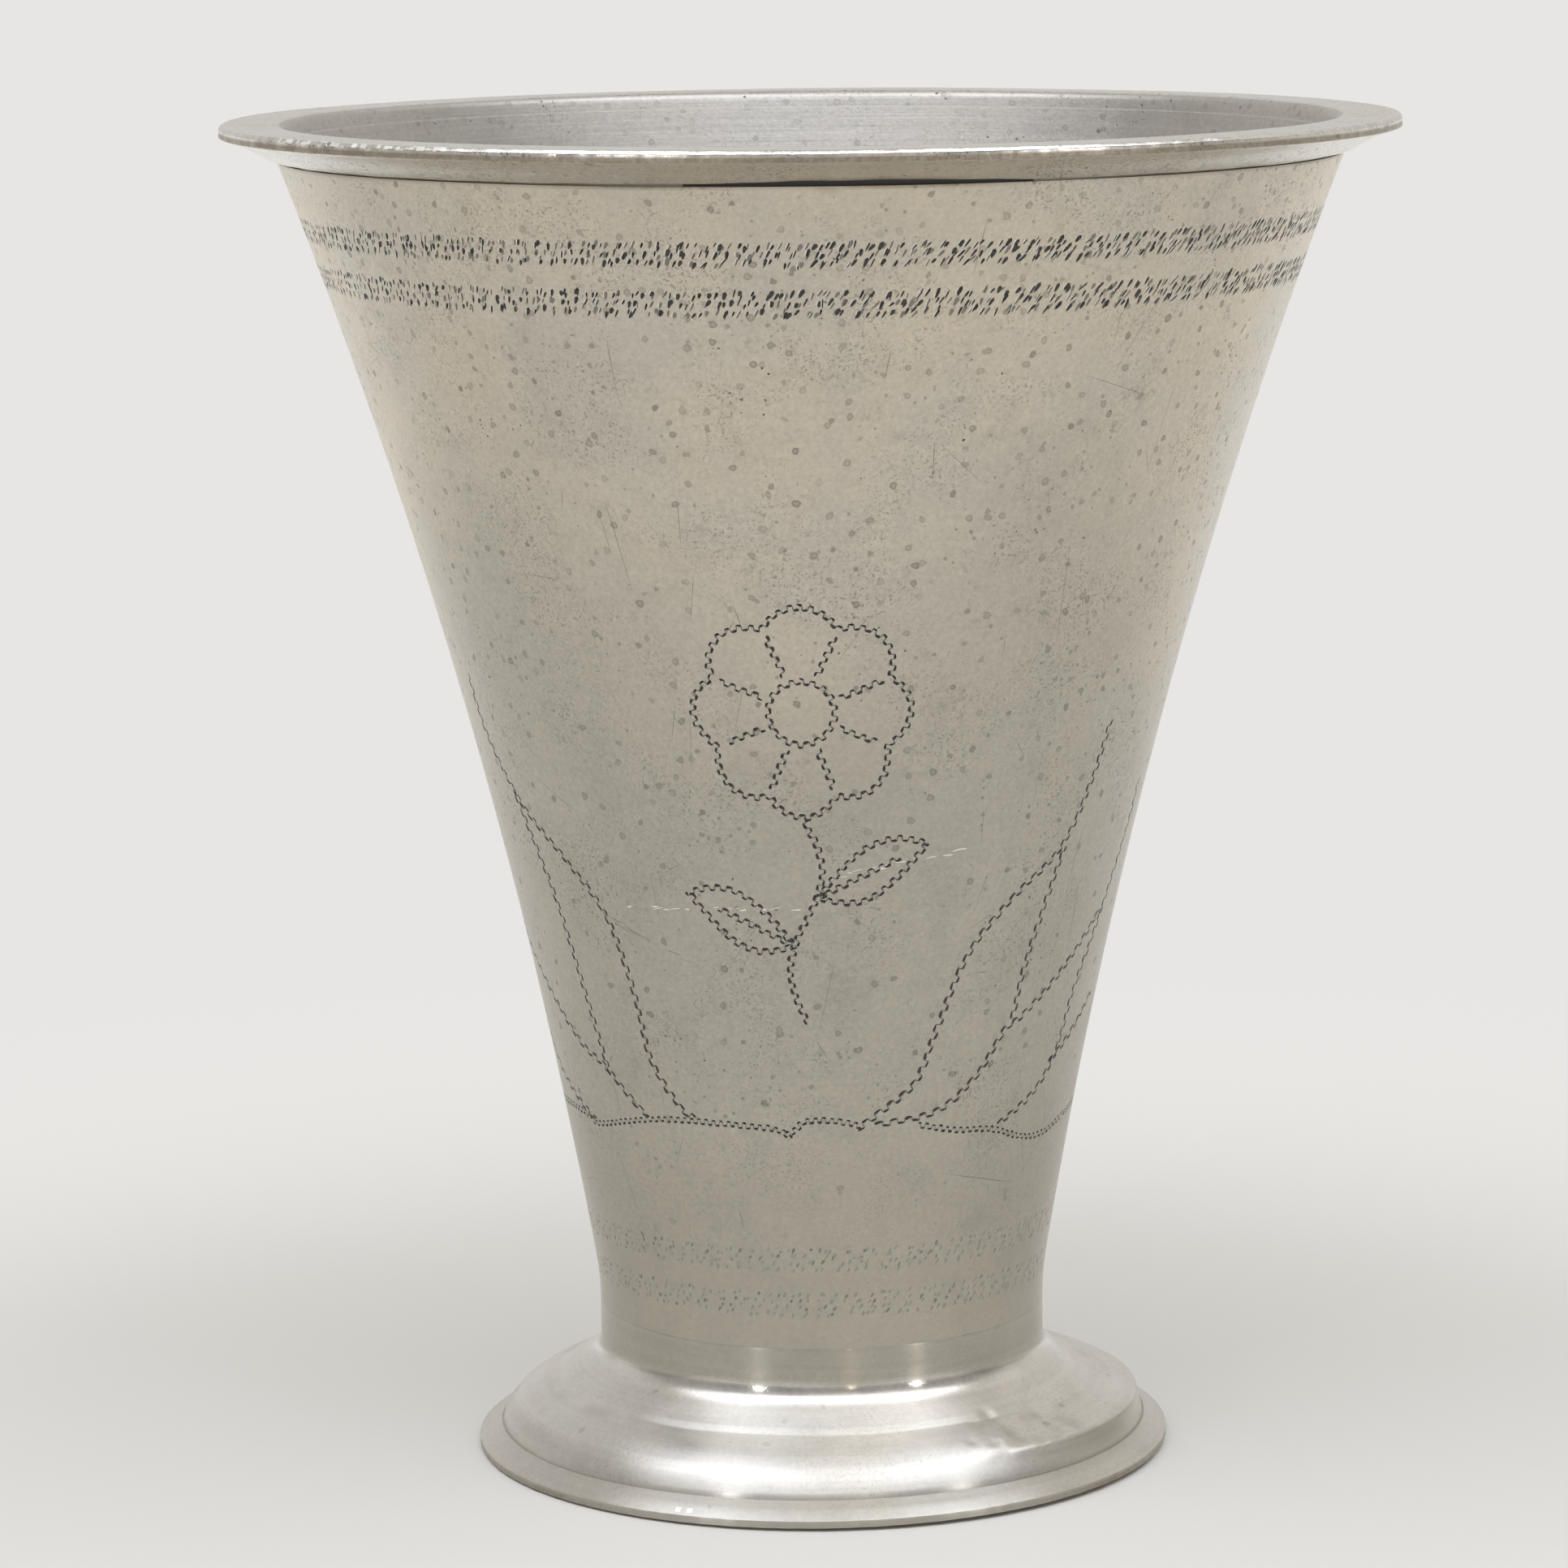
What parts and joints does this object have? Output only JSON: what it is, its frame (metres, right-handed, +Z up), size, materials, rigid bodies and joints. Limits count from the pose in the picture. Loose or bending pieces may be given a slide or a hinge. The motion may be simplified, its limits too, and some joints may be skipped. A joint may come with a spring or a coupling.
{
  "type": "pewter goblet",
  "caption": "Tall trumpet-shaped pewter drinking goblet with an applied flat lip, a closed bowl and a low hollow turned foot, soldered together.",
  "frame": {"origin": "centre of the foot's resting circle, on the surface that the goblet stands on", "axes": "+Z up along the turning axis, from the foot to the lip; -Y is the decorated front"},
  "size_m": [0.1474, 0.1474, 0.17],
  "materials": {
    "pewter_body": "aged satin pewter with engraved and punched ornament",
    "pewter_inside": "dull grey pewter with turning lines",
    "pewter_foot": "worn turned pewter, brown patina in the hollows",
    "solder": "dull grey solder"
  },
  "bodies": {
    "root": {"bowl_wall": "pewter_body", "bowl_floor": "pewter_inside", "rim_ring": "pewter_body", "foot": "pewter_foot", "rim_solder": "solder", "floor_solder": "solder", "foot_solder": "solder"}
  },
  "joints": []
}
